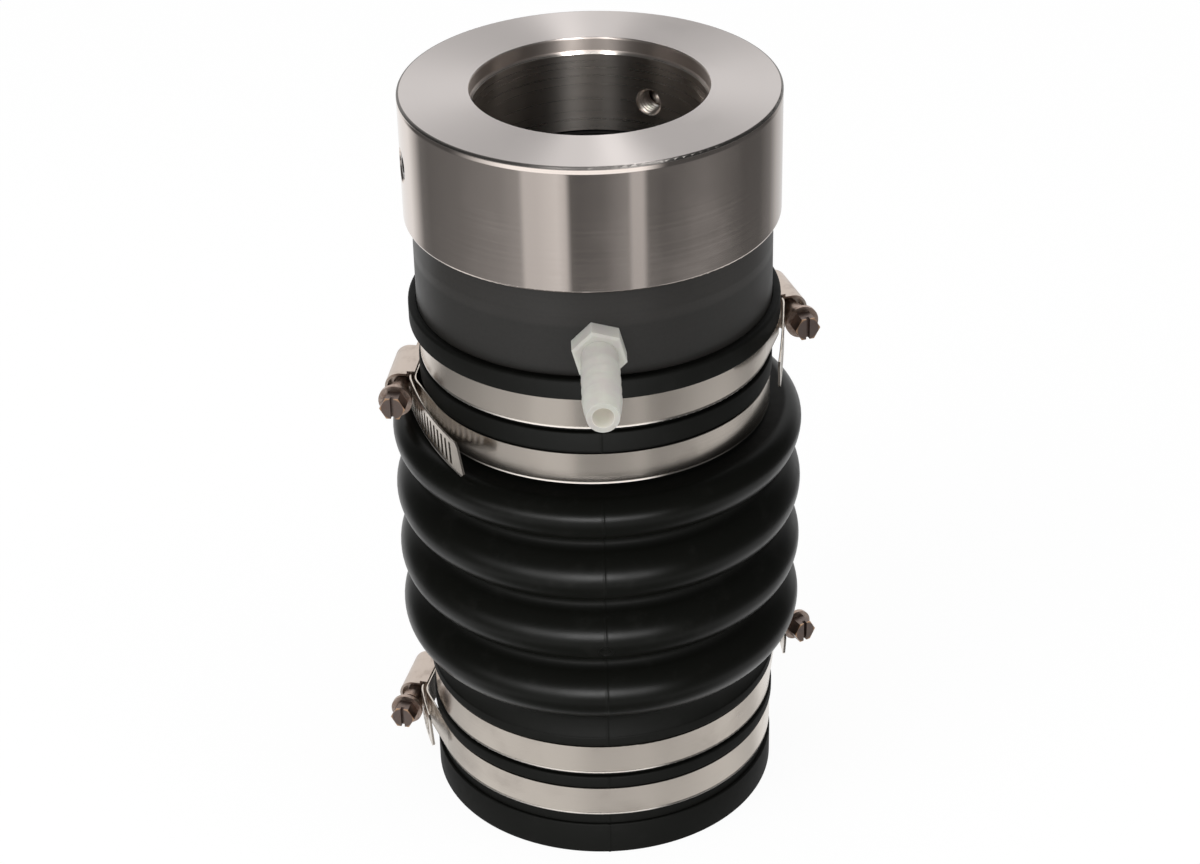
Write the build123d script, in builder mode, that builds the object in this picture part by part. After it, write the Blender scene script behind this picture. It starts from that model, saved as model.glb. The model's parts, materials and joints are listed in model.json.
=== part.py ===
from build123d import *
from math import acos, atan2, cos, degrees, hypot, radians, sin
import os

os.makedirs("parts", exist_ok=True)

# Shaft seal for an 80 mm propeller shaft, stood on the open end of its lower cuff.
# The origin is on the seal's axis at that end, +Z towards the rotor, -Y towards the water fitting.

# Clearances
slide_clearance = 0.05
seat_clearance = 0.05
thread_clearance = 0.1
moving_clearance = 0.4
overcut = 1.0

# Shaft and stern tube that the seal fits
shaft_radius = 40.0
stern_tube_radius = 57.15

# Bellows
wall = 4.0
lower_cuff_wall = 5.45
upper_cuff_wall = 5.75
tube_stop_rise = 3.0
skirt_height = 13.0
skirt_proud = 1.1
lower_cuff_bare = 4.35
lower_ridge_height = 4.7
neck_step = 1.4
neck_height = 7.7
neck_fillet = 4.0
crest_proud = 9.3
top_crest_curve = 7.2
valley_curve = 2.0
convolution_count = 4
convolution_pitch = 25.0
upper_cuff_bare = 1.05
upper_ridge_height = 7.6
ridge_proud = 1.5
ridge_break = 0.5
collar_proud = 0.4
collar_height = 3.6
lip_width = 2.95
lip_height = 7.8
lip_break = 1.2
lip_seat_depth = 3.6

# Clamp strips
band_width = 12.0
band_thickness = 0.8
band_margin = 1.1
strip_bend = 10.0
strip_start_inset = 1.0
strip_edge = 0.25
tail_bend = 12.0
slot_pitch = 3.2
slot_play = 0.6
slot_length = 8.2
slot_lean = 6.0
tip_slant = 3.5
tip_break = 1.5

# Each clamp: where its housing is round the seal, how far its strip lifts off the cuff there, how
# many degrees its loose tail stands off where it leaves the housing, the radius that the tail has
# kept from being wound round the cuff, and how long it is
clamp_1_angle = 17.0
clamp_1_lift = 1.9
clamp_1_tail_ease = 16.3
clamp_1_tail_curve = 600.0
clamp_1_tail = 44.0
clamp_2_angle = 172.0
clamp_2_lift = 1.2
clamp_2_tail_ease = 15.2
clamp_2_tail_curve = 150.0
clamp_2_tail = 52.0
clamp_3_angle = 31.0
clamp_3_lift = 5.0
clamp_3_tail_ease = 19.9
clamp_3_tail_curve = 120.0
clamp_3_tail = 17.5
clamp_4_angle = 166.0
clamp_4_lift = 2.9
clamp_4_tail_ease = 16.4
clamp_4_tail_curve = 120.0
clamp_4_tail = 21.0

# Clamp housings
housing_back = 9.5
housing_front = 13.0
housing_wall = 0.9
housing_side = 0.6
housing_side_clearance = 0.1
strip_headroom = 0.3
end_wall = 1.0
front_recess = 3.5
back_round = 2.0

# Clamp screws
worm_crest = 4.3
worm_core = 3.0
worm_bite = 0.5
worm_crest_width = 1.0
worm_root_width = 2.1
pin_radius = 1.8
pin_reach = 0.4
neck_pin_radius = 2.6
ferrule_radius = 3.6
ferrule_gap = 1.5
ferrule_length = 3.5
flange_gap = 3.5
flange_thickness = 1.5
flange_screw_radius = 6.0
head_hex = 8.0
head_height = 5.5
head_slot_width = 1.3
head_slot_depth = 1.6

# Stator
water_gap = 3.0
sleeve_wall = 12.2
flange_step = 7.1
flange_height = 35.5
nose_taper = 0.35
nose_height = 10.0
nose_break = 0.5
sleeve_end_gap = 2.0
water_groove_depth = 7.0
water_groove_width = 12.0

# Rotor
rotor_wall = 25.0
rotor_height = 45.1
rotor_edge = 0.9
relief_step = 0.8
relief_depth = 5.0
relief_taper = 1.2
bore_chamfer = 1.0
oring_cord = 2.62
oring_groove_width = 3.4
oring_groove_play = 0.1
oring_lower_height = 3.7
oring_spacing = 4.7
screw_hole_radius = 5.0
screw_hole_height = 22.6
screw_hole_mouth = 1.3
rear_hole_angle = 59.0
left_hole_angle = 191.0
set_screw_length = 8.0
set_screw_depth = 0.6
set_screw_gap = 0.2
set_screw_socket = 5.0
set_screw_socket_depth = 4.0
set_screw_point = 1.2

# Water fitting
barb_angle = 271.0
barb_rise = 11.1
barb_thread_radius = 6.86
barb_hex = 16.3
barb_hex_length = 7.6
barb_hex_turn = 15.0
barb_hex_break = 0.8
barb_stem_radius = 6.1
barb_crest_radius = 6.5
barb_plain_length = 9.0
barb_ring_pitch = 6.0
barb_ring_count = 4
barb_ring_land = 1.2
barb_tip_length = 5.5
barb_tip_radius = 5.3
barb_bore_radius = 3.6

# Sizes across the seal, from the shaft and the stern tube outwards
stator_bore_radius = shaft_radius + water_gap
water_groove_radius = stator_bore_radius + water_groove_depth
sleeve_radius = stator_bore_radius + sleeve_wall
flange_radius = sleeve_radius + flange_step
lip_radius = flange_radius + lip_width
rotor_radius = shaft_radius + rotor_wall
upper_cuff_radius = sleeve_radius + slide_clearance + upper_cuff_wall
lower_cuff_radius = stern_tube_radius + lower_cuff_wall
skirt_radius = lower_cuff_radius + skirt_proud
neck_radius = lower_cuff_radius + neck_step
crest_radius = max(neck_radius, upper_cuff_radius) + crest_proud

# Convolutions: the crests' arcs are as wide as the pitch, and small arcs join them in the valleys
half_pitch = convolution_pitch / 2
crest_curve = half_pitch
crest_centre = crest_radius - crest_curve
valley_reach = crest_curve + valley_curve
valley_centre = crest_centre + (valley_reach**2 - half_pitch**2) ** 0.5
valley_angle = degrees(atan2(half_pitch, valley_centre - crest_centre))
neck_centre = neck_radius + neck_fillet
neck_run = neck_centre - crest_centre
neck_drop = ((crest_curve + neck_fillet) ** 2 - neck_run**2) ** 0.5
neck_angle = degrees(atan2(neck_drop, neck_run))

# Heights, from the lower end upwards
half_band = band_width / 2
half_seat = half_band + band_margin
clamp_4_height = skirt_height + lower_cuff_bare + half_band
clamp_3_height = clamp_4_height + 2 * half_seat + lower_ridge_height
collar_top = clamp_3_height + half_seat + collar_height
tube_depth = collar_top
neck_top = collar_top + neck_height
lowest_crest = neck_top + neck_drop
top_crest = lowest_crest + (convolution_count - 1) * convolution_pitch
shoulder = top_crest + top_crest_curve
clamp_2_height = shoulder + upper_cuff_bare + half_band
clamp_1_height = clamp_2_height + 2 * half_seat + upper_ridge_height
lip_base = clamp_1_height + half_seat
lip_top = lip_base + lip_height
seat_height = lip_top - lip_seat_depth
port_height = lip_top + barb_rise
stator_top = seat_height + flange_height
rotor_top = stator_top + rotor_height


def on_circle(centre, radius, angle):
    """A point at an angle in degrees on a circle."""
    return (centre[0] + radius * cos(radians(angle)), centre[1] + radius * sin(radians(angle)))


def ridge(low, high, base, radius):
    """Corners of a rubber ridge with broken edges, from its foot at low to its foot at high."""
    edge = radius - ridge_break
    return [
        (base, low),
        (edge, low),
        (radius, low + ridge_break),
        (radius, high - ridge_break),
        (edge, high),
        (base, high),
    ]


# Bellows: one revolved moulding. The outside of the convolutions is a chain of tangent arcs, and
# the inside follows it one wall thickness away, so crests and valleys stay even.
lower_outside = [
    (stern_tube_radius, 0),
    (skirt_radius - ridge_break, 0),
    (skirt_radius, ridge_break),
    (skirt_radius, skirt_height - ridge_break),
    (skirt_radius - ridge_break, skirt_height),
    (lower_cuff_radius, skirt_height),
    *ridge(
        clamp_4_height + half_seat,
        clamp_3_height - half_seat,
        lower_cuff_radius,
        lower_cuff_radius + ridge_proud,
    ),
    *ridge(
        clamp_3_height + half_seat,
        collar_top,
        lower_cuff_radius,
        neck_radius + collar_proud,
    )[:-1],
    (neck_radius, collar_top),
    (neck_radius, neck_top),
]
upper_outside = [
    (crest_radius - top_crest_curve, shoulder),
    (upper_cuff_radius, shoulder),
    *ridge(
        clamp_2_height + half_seat,
        clamp_1_height - half_seat,
        upper_cuff_radius,
        upper_cuff_radius + ridge_proud,
    ),
    (upper_cuff_radius, lip_base),
    (lip_radius - ridge_break, lip_base),
    (lip_radius, lip_base + ridge_break),
    (lip_radius, lip_top - lip_break),
    (lip_radius - lip_break, lip_top),
    (flange_radius + slide_clearance, lip_top),
    (flange_radius + slide_clearance, seat_height),
    (sleeve_radius + slide_clearance, seat_height),
    (sleeve_radius + slide_clearance, shoulder - wall),
    (crest_radius - top_crest_curve, shoulder - wall),
]
lower_inside = [
    (neck_radius - wall, neck_top),
    (neck_radius - wall, tube_depth + tube_stop_rise),
    (stern_tube_radius, tube_depth),
    (stern_tube_radius, 0),
]

with BuildPart() as bellows:
    with BuildSketch(Plane.XZ) as bellows_section:
        with BuildLine():
            Polyline(*lower_outside)
            Polyline(*upper_outside)
            Polyline(*lower_inside)
            # Outside first, then the same chain one wall thickness further in
            for inset in (0, wall):
                CenterArc((neck_centre, neck_top), neck_fillet + inset, 180, -neck_angle)
                CenterArc(
                    (crest_centre, lowest_crest),
                    crest_curve - inset,
                    -neck_angle,
                    neck_angle + valley_angle,
                )
                for step in range(1, convolution_count):
                    crest = lowest_crest + step * convolution_pitch
                    CenterArc(
                        (valley_centre, crest - half_pitch),
                        valley_curve + inset,
                        180 + valley_angle,
                        -2 * valley_angle,
                    )
                    topmost = step == convolution_count - 1
                    CenterArc(
                        (crest_centre, crest),
                        crest_curve - inset,
                        -valley_angle,
                        valley_angle if topmost else 2 * valley_angle,
                    )
                CenterArc(
                    (crest_radius - top_crest_curve, top_crest), top_crest_curve - inset, 0, 90
                )
        make_face()
    revolve(axis=Axis.Z)
bellows.part.label = "bellows"
export_step(bellows.part, "parts/bellows.step")

# Stator: carbon ring. Its flange stands in the bellows' lip, its sleeve runs down inside the upper
# cuff under both clamps, and a groove round its bore takes the water from the fitting.
groove_low = port_height - water_groove_width / 2
groove_high = port_height + water_groove_width / 2
sleeve_end = shoulder - wall + sleeve_end_gap
port_frame = Plane(
    origin=(0, 0, port_height),
    x_dir=(cos(radians(barb_angle)), sin(radians(barb_angle)), 0),
    z_dir=(sin(radians(barb_angle)), -cos(radians(barb_angle)), 0),
)
port_section = Plane(origin=port_frame.origin, x_dir=(0, 0, 1), z_dir=port_frame.x_dir)

with BuildPart() as stator:
    with BuildSketch(Plane.XZ) as stator_section:
        with BuildLine():
            Polyline(
                (stator_bore_radius, sleeve_end),
                (sleeve_radius - nose_break, sleeve_end),
                (sleeve_radius, sleeve_end + nose_break),
                (sleeve_radius, seat_height + seat_clearance),
                (flange_radius, seat_height + seat_clearance),
                (flange_radius, stator_top - nose_height),
                (flange_radius - nose_taper, stator_top - nose_break),
                (flange_radius - nose_taper - nose_break, stator_top),
                (stator_bore_radius + nose_break, stator_top),
                (stator_bore_radius, stator_top - nose_break),
                (stator_bore_radius, groove_high),
                (water_groove_radius, groove_high),
                (water_groove_radius, groove_low),
                (stator_bore_radius, groove_low),
                close=True,
            )
        make_face()
    revolve(axis=Axis.Z)
    with BuildSketch(port_section.offset(stator_bore_radius)) as port:
        Circle(barb_thread_radius + thread_clearance)
    extrude(amount=flange_radius, mode=Mode.SUBTRACT)
stator.part.label = "stator"
export_step(stator.part, "parts/stator.step")

# Water fitting: threaded root in the stator's port, hex against the stator, barbed stem outside.
hex_start = flange_radius + seat_clearance
stem_start = hex_start + barb_hex_length
rings_start = stem_start + barb_plain_length
rings_end = rings_start + barb_ring_count * barb_ring_pitch
fitting_end = rings_end + barb_tip_length
barb_axis = Axis(port_frame.origin, port_frame.x_dir)
ring_corners = []
for ring in range(barb_ring_count):
    foot = rings_start + ring * barb_ring_pitch
    ring_corners += [
        (foot, barb_stem_radius),
        (foot, barb_crest_radius),
        (foot + barb_ring_land, barb_crest_radius),
    ]

with BuildPart() as hose_barb:
    with BuildSketch(port_section.offset(hex_start)) as barb_hexagon:
        RegularPolygon(barb_hex / 2, 6, major_radius=False, rotation=barb_hex_turn)
    extrude(amount=barb_hex_length)
    chamfer(hose_barb.faces().sort_by(barb_axis)[-1].edges(), barb_hex_break)
    with BuildSketch(port_frame) as barb_section:
        with BuildLine():
            Polyline(
                (water_groove_radius, 0),
                (water_groove_radius, barb_thread_radius),
                (stem_start, barb_thread_radius),
                (stem_start, barb_stem_radius),
                *ring_corners,
                (rings_end, barb_stem_radius),
                (fitting_end, barb_tip_radius),
                (fitting_end, 0),
                close=True,
            )
        make_face()
    revolve(axis=barb_axis)
    with BuildSketch(port_section) as barb_bore:
        Circle(barb_bore_radius)
    extrude(amount=fitting_end + overcut, mode=Mode.SUBTRACT)
hose_barb.part.label = "hose_barb"
export_step(hose_barb.part, "parts/hose_barb.step")

# Rotor: turned ring with the shaft bore, a relieved mouth, two O-ring grooves and two tapped holes.
relief_radius = shaft_radius + relief_step
groove_radius = shaft_radius + slide_clearance + oring_cord + oring_groove_play
oring_heights = {
    "rotor_oring_lower": stator_top + oring_lower_height,
    "rotor_oring_upper": stator_top + oring_lower_height + oring_spacing,
}
groove_corners = []
for height in oring_heights.values():
    groove_corners += [
        (shaft_radius, height - oring_groove_width / 2),
        (groove_radius, height - oring_groove_width / 2),
        (groove_radius, height + oring_groove_width / 2),
        (shaft_radius, height + oring_groove_width / 2),
    ]


def radial_plane(angle, reach, height):
    """A plane facing outwards at a distance from the axis."""
    outward = (cos(radians(angle)), sin(radians(angle)), 0)
    return Plane(
        origin=(reach * outward[0], reach * outward[1], height),
        x_dir=(0, 0, 1),
        z_dir=outward,
    )


screw_height = stator_top + screw_hole_height
screw_angles = {"rear": rear_hole_angle, "left": left_hole_angle}

with BuildPart() as rotor:
    with BuildSketch(Plane.XZ) as rotor_section:
        with BuildLine():
            Polyline(
                (shaft_radius + bore_chamfer, stator_top),
                (rotor_radius, stator_top),
                (rotor_radius, rotor_top),
                (relief_radius, rotor_top),
                (relief_radius, rotor_top - relief_depth),
                (shaft_radius, rotor_top - relief_depth - relief_taper),
                *reversed(groove_corners),
                (shaft_radius, stator_top + bore_chamfer),
                close=True,
            )
        make_face()
        fillet(rotor_section.vertices().group_by(Axis.X)[-1], rotor_edge)
    revolve(axis=Axis.Z)
    for angle in screw_angles.values():
        with BuildSketch(radial_plane(angle, 0, screw_height)) as screw_hole:
            Circle(screw_hole_radius)
        extrude(amount=rotor_radius + overcut, mode=Mode.SUBTRACT)
        with BuildSketch(radial_plane(angle, rotor_radius, screw_height)) as screw_mouth:
            Circle(screw_hole_radius + screw_hole_mouth)
        extrude(amount=-screw_hole_mouth, taper=45, mode=Mode.SUBTRACT)
rotor.part.label = "rotor"
export_step(rotor.part, "parts/rotor.step")

# O-rings, drawn as they lie squeezed against the shaft
for oring_name, height in oring_heights.items():
    with BuildPart() as oring:
        with BuildSketch(Plane.XZ) as oring_section:
            with Locations((shaft_radius + slide_clearance + oring_cord / 2, height)):
                Circle(oring_cord / 2)
        revolve(axis=Axis.Z)
    oring.part.label = oring_name
    export_step(oring.part, f"parts/{oring_name}.step")

# Set screws: a lock screw near the outside of each hole and the drive screw behind it, both
# backed off from the shaft
lock_reach = rotor_radius - set_screw_depth
drive_reach = lock_reach - set_screw_length - set_screw_gap
for hole_name, angle in screw_angles.items():
    for screw_name, reach in (("lock", lock_reach), ("drive", drive_reach)):
        outer_face = radial_plane(angle, reach, screw_height)
        with BuildPart() as set_screw:
            with BuildSketch(outer_face) as screw_round:
                Circle(screw_hole_radius - thread_clearance)
            extrude(amount=-set_screw_length)
            inner_edge = set_screw.edges().filter_by(GeomType.CIRCLE).sort_by(
                lambda edge: edge.center().X ** 2 + edge.center().Y ** 2
            )[0]
            chamfer(inner_edge, set_screw_point)
            with BuildSketch(outer_face) as screw_socket:
                RegularPolygon(set_screw_socket / 2, 6, major_radius=False)
            extrude(amount=-set_screw_socket_depth, mode=Mode.SUBTRACT)
        set_screw.part.label = f"set_screw_{hole_name}_{screw_name}"
        export_step(set_screw.part, f"parts/set_screw_{hole_name}_{screw_name}.step")


# Worm-drive clamps. Each is laid out in its own frame: x out through the housing, y along the
# screw towards its head, z along the seal. The frame of a right-hand clamp is turned over, so that
# its screw head also points to the front.
def clamp_frame(height, angle, turned_over):
    """The frame of one clamp, on the seal's axis at the strip's mid-height."""
    return Plane(
        origin=(0, 0, height),
        x_dir=(cos(radians(angle)), sin(radians(angle)), 0),
        z_dir=(0, 0, -1 if turned_over else 1),
    )


def upright(frame, along):
    """A plane across the screw at a place along it, facing the head."""
    return Plane(
        origin=frame.from_local_coords((0, along, 0)), x_dir=frame.x_dir, z_dir=frame.y_dir
    )


def turn_angle(level, along, bend, passing):
    """Angle a strip turns through, from flat at a level and place, to pass the axis at a distance."""
    centre = level - bend
    return degrees(atan2(along, centre) + acos((passing - bend) / hypot(centre, along)))


def strip_levels(cuff_radius, lift):
    """Inner face of the strip round the cuff, of its fixed start, and under the worm."""
    strip_radius = cuff_radius + seat_clearance
    start_level = strip_radius + lift
    saddle_top = start_level + band_thickness + seat_clearance + housing_wall
    return strip_radius, start_level, saddle_top + seat_clearance


def tail_place(run_level, bend, curve, distance):
    """Point and direction on the strip's middle, a distance along it from the screw's mid-point."""
    middle = run_level + band_thickness / 2
    bend_radius = tail_bend + band_thickness / 2
    bend_length = radians(bend) * bend_radius
    past = distance - housing_front
    if past <= 0:
        return (middle, distance), 0.0
    centre = (middle - bend_radius, housing_front)
    if past <= bend_length:
        turned = degrees(past / bend_radius)
        return on_circle(centre, bend_radius, turned), turned
    curve_centre = on_circle(centre, tail_bend - curve, bend)
    curve_radius = curve + band_thickness / 2
    turned = bend + degrees((past - bend_length) / curve_radius)
    return on_circle(curve_centre, curve_radius, turned), turned


def strip_plane(frame, place):
    """A plane on the strip, x along it and z outwards."""
    (x, y), turned = place
    along = (-sin(radians(turned)), cos(radians(turned)), 0)
    outward = (cos(radians(turned)), sin(radians(turned)), 0)
    origin = frame.from_local_coords((x, y, 0))
    return Plane(
        origin=origin,
        x_dir=frame.from_local_coords(along) - frame.origin,
        z_dir=frame.from_local_coords(outward) - frame.origin,
    )


def clamp_band(frame, cuff_radius, lift, ease, curve, tail):
    """The strip: fixed start under the housing, once round the cuff, under the worm and out."""
    slot_width = worm_crest_width + slot_play
    strip_radius, start_level, run_level = strip_levels(cuff_radius, lift)
    leave = turn_angle(start_level, housing_front, strip_bend, strip_radius)
    arrive = turn_angle(run_level, housing_back, strip_bend, strip_radius)
    # The tail would lie on the strip if it turned as far as it could, and stands off by its ease
    outer_radius = strip_radius + band_thickness
    bend = turn_angle(run_level, housing_front, tail_bend, outer_radius) - ease
    leave_centre = (start_level - strip_bend, housing_front)
    arrive_centre = (run_level - strip_bend, -housing_back)
    tail_centre = (run_level - tail_bend, housing_front)
    curve_centre = on_circle(tail_centre, tail_bend - curve, bend)
    tail_sweep = degrees(tail / (curve + band_thickness / 2))
    ends = {}
    with BuildPart() as band:
        with BuildSketch(frame.offset(-half_band)) as band_edge:
            with BuildLine():
                for face in (0, band_thickness):
                    start = (start_level + face, strip_start_inset - housing_back)
                    Line(start, (start_level + face, housing_front))
                    CenterArc(leave_centre, strip_bend + face, 0, leave)
                    Line(
                        on_circle(leave_centre, strip_bend + face, leave),
                        on_circle((0, 0), strip_radius + face, leave),
                    )
                    CenterArc((0, 0), strip_radius + face, leave, 360 - leave - arrive)
                    Line(
                        on_circle((0, 0), strip_radius + face, -arrive),
                        on_circle(arrive_centre, strip_bend + face, -arrive),
                    )
                    CenterArc(arrive_centre, strip_bend + face, -arrive, arrive)
                    Line((run_level + face, -housing_back), (run_level + face, housing_front))
                    CenterArc(tail_centre, tail_bend + face, 0, bend)
                    CenterArc(curve_centre, curve + face, bend, tail_sweep)
                    tip = on_circle(curve_centre, curve + face, bend + tail_sweep)
                    ends[face] = (start, tip)
                Line(ends[0][0], ends[band_thickness][0])
                Line(ends[0][1], ends[band_thickness][1])
            make_face()
        extrude(amount=band_width)
        # The strip's long edges are rolled round
        levels = band.edges().group_by(Axis(frame.origin, frame.z_dir))
        fillet(levels[0] + levels[-1], strip_edge)
        # Slots from the back of the housing to the tail's end, one worm pitch apart
        strip_end = housing_front + radians(bend) * (tail_bend + band_thickness / 2) + tail
        first = -int((housing_back - slot_pitch / 2) / slot_pitch)
        last = int((strip_end - tip_slant - slot_pitch) / slot_pitch)
        slot_planes = [
            strip_plane(frame, tail_place(run_level, bend, curve, step * slot_pitch))
            for step in range(first, last + 1)
        ]
        with BuildSketch(*slot_planes) as slots:
            Rectangle(slot_width, slot_length, rotation=slot_lean)
        extrude(amount=band_thickness, both=True, mode=Mode.SUBTRACT)
        # The end is cut at a slant, with both corners broken
        tip_plane = strip_plane(frame, tail_place(run_level, bend, curve, strip_end))
        with BuildSketch(tip_plane) as tip_cut:
            with BuildLine():
                Polyline(
                    (-tip_slant - tip_break, half_band + overcut),
                    (-tip_slant - tip_break, half_band),
                    (-tip_slant, half_band - tip_break),
                    (0, tip_break - half_band),
                    (-tip_break, -half_band),
                    (-tip_break, -half_band - overcut),
                    (overcut, -half_band - overcut),
                    (overcut, half_band + overcut),
                    close=True,
                )
            make_face()
        extrude(amount=band_thickness, both=True, mode=Mode.SUBTRACT)
    return band


def clamp_housing(frame, cuff_radius, lift):
    """The pressed housing: a saddle under the running strip and an arch over the worm."""
    start_level = strip_levels(cuff_radius, lift)[1]
    run_level = strip_levels(cuff_radius, lift)[2]
    saddle = start_level + band_thickness + seat_clearance
    channel_top = run_level + band_thickness + strip_headroom
    screw_level = run_level + band_thickness + worm_crest - worm_bite
    inner_width = band_width + 2 * housing_side_clearance
    arch_inner = worm_crest + moving_clearance
    arch_outer = arch_inner + housing_wall
    shoulder_top = channel_top + housing_wall
    half_width = inner_width / 2 + housing_side
    mouth = housing_front - front_recess
    with BuildPart() as housing:
        with BuildSketch(upright(frame, -housing_back)) as housing_section:
            with BuildLine():
                Polyline(
                    (screw_level, arch_outer),
                    (shoulder_top, arch_outer),
                    (shoulder_top, half_width),
                    (saddle, half_width),
                    (saddle, -half_width),
                    (shoulder_top, -half_width),
                    (shoulder_top, -arch_outer),
                    (screw_level, -arch_outer),
                )
                CenterArc((screw_level, 0), arch_outer, -90, 180)
            make_face()
        extrude(amount=housing_back + housing_front)
        # The arch's back end is pressed round
        arch_edges = housing.edges().filter_by(GeomType.CIRCLE)
        fillet(arch_edges.sort_by(Axis(frame.origin, frame.y_dir))[0], back_round)
        # Channel for the strip, then the worm's room and the open mouth with a wall between them
        with BuildSketch(upright(frame, -housing_back)) as channel_section:
            with Locations(((saddle + housing_wall + channel_top) / 2, 0)):
                Rectangle(channel_top - saddle - housing_wall, inner_width)
        extrude(amount=housing_back + housing_front, mode=Mode.SUBTRACT)
        for along, reach in (
            (end_wall - housing_back, mouth - 2 * end_wall + housing_back),
            (mouth, front_recess),
        ):
            with BuildSketch(upright(frame, along)) as room_section:
                with BuildLine():
                    Polyline(
                        (screw_level, arch_inner),
                        (channel_top, arch_inner),
                        (channel_top, -arch_inner),
                        (screw_level, -arch_inner),
                    )
                    CenterArc((screw_level, 0), arch_inner, -90, 180)
                make_face()
            extrude(amount=reach, mode=Mode.SUBTRACT)
        # Holes for the screw's two ends
        for along, hole in (
            (-housing_back, pin_radius),
            (mouth - end_wall, neck_pin_radius),
        ):
            with BuildSketch(upright(frame, along)) as pin_section:
                with Locations((screw_level, 0)):
                    Circle(hole + moving_clearance)
            extrude(amount=end_wall, mode=Mode.SUBTRACT)
    return housing


def clamp_screw(frame, cuff_radius, lift):
    """The worm screw: a ringed worm, a neck with a ferrule, and a slotted hex head on a flange."""
    run_level = strip_levels(cuff_radius, lift)[2]
    screw_level = run_level + band_thickness + worm_crest - worm_bite
    worm_start = end_wall + moving_clearance - housing_back
    worm_end = housing_front - front_recess - end_wall - moving_clearance
    rings = []
    first = -int((-worm_start - worm_root_width / 2) / slot_pitch)
    last = int((worm_end - worm_root_width / 2) / slot_pitch)
    for step in range(first, last + 1):
        middle = step * slot_pitch
        rings += [
            (screw_level + worm_core, middle - worm_root_width / 2),
            (screw_level + worm_crest, middle - worm_crest_width / 2),
            (screw_level + worm_crest, middle + worm_crest_width / 2),
            (screw_level + worm_core, middle + worm_root_width / 2),
        ]
    ferrule_start = housing_front + ferrule_gap
    ferrule_end = ferrule_start + ferrule_length
    flange_start = ferrule_end + flange_gap
    head_start = flange_start + flange_thickness
    with BuildPart() as screw:
        with BuildSketch(frame) as screw_section:
            with BuildLine():
                Polyline(
                    (screw_level, -housing_back - pin_reach),
                    (screw_level + pin_radius, -housing_back - pin_reach),
                    (screw_level + pin_radius, worm_start),
                    (screw_level + worm_core, worm_start),
                    *rings,
                    (screw_level + worm_core, worm_end),
                    (screw_level + neck_pin_radius, worm_end),
                    (screw_level + neck_pin_radius, ferrule_start),
                    (screw_level + ferrule_radius, ferrule_start),
                    (screw_level + ferrule_radius, ferrule_end),
                    (screw_level + neck_pin_radius, ferrule_end),
                    (screw_level + neck_pin_radius, flange_start),
                    (screw_level + flange_screw_radius, flange_start),
                    (screw_level + flange_screw_radius, head_start),
                    (screw_level, head_start),
                    close=True,
                )
            make_face()
        revolve(axis=Axis(frame.from_local_coords((screw_level, 0, 0)), frame.y_dir))
        with BuildSketch(upright(frame, head_start)) as head_section:
            with Locations((screw_level, 0)):
                RegularPolygon(head_hex / 2, 6, major_radius=False)
        extrude(amount=head_height)
        with BuildSketch(upright(frame, head_start + head_height)) as head_slot:
            with Locations((screw_level, 0)):
                Rectangle(head_slot_width, head_hex + 2 * overcut)
        extrude(amount=-head_slot_depth, mode=Mode.SUBTRACT)
    return screw


# Name, frame, cuff and lift, and the tail's ease, curve and length
clamps = (
    (
        "clamp_1",
        clamp_frame(clamp_1_height, clamp_1_angle, turned_over=True),
        (upper_cuff_radius, clamp_1_lift),
        (clamp_1_tail_ease, clamp_1_tail_curve, clamp_1_tail),
    ),
    (
        "clamp_2",
        clamp_frame(clamp_2_height, clamp_2_angle, turned_over=False),
        (upper_cuff_radius, clamp_2_lift),
        (clamp_2_tail_ease, clamp_2_tail_curve, clamp_2_tail),
    ),
    (
        "clamp_3",
        clamp_frame(clamp_3_height, clamp_3_angle, turned_over=True),
        (lower_cuff_radius, clamp_3_lift),
        (clamp_3_tail_ease, clamp_3_tail_curve, clamp_3_tail),
    ),
    (
        "clamp_4",
        clamp_frame(clamp_4_height, clamp_4_angle, turned_over=False),
        (lower_cuff_radius, clamp_4_lift),
        (clamp_4_tail_ease, clamp_4_tail_curve, clamp_4_tail),
    ),
)
for clamp_name, frame, seat, tail_shape in clamps:
    band = clamp_band(frame, *seat, *tail_shape)
    band.part.label = f"{clamp_name}_band"
    export_step(band.part, f"parts/{clamp_name}_band.step")
    housing = clamp_housing(frame, *seat)
    housing.part.label = f"{clamp_name}_housing"
    export_step(housing.part, f"parts/{clamp_name}_housing.step")
    screw = clamp_screw(frame, *seat)
    screw.part.label = f"{clamp_name}_screw"
    export_step(screw.part, f"parts/{clamp_name}_screw.step")
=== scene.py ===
import json
from math import acos, cos, degrees, pi, radians, sin, tau

import bmesh
import bpy
from mathutils import Matrix, Vector


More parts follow.
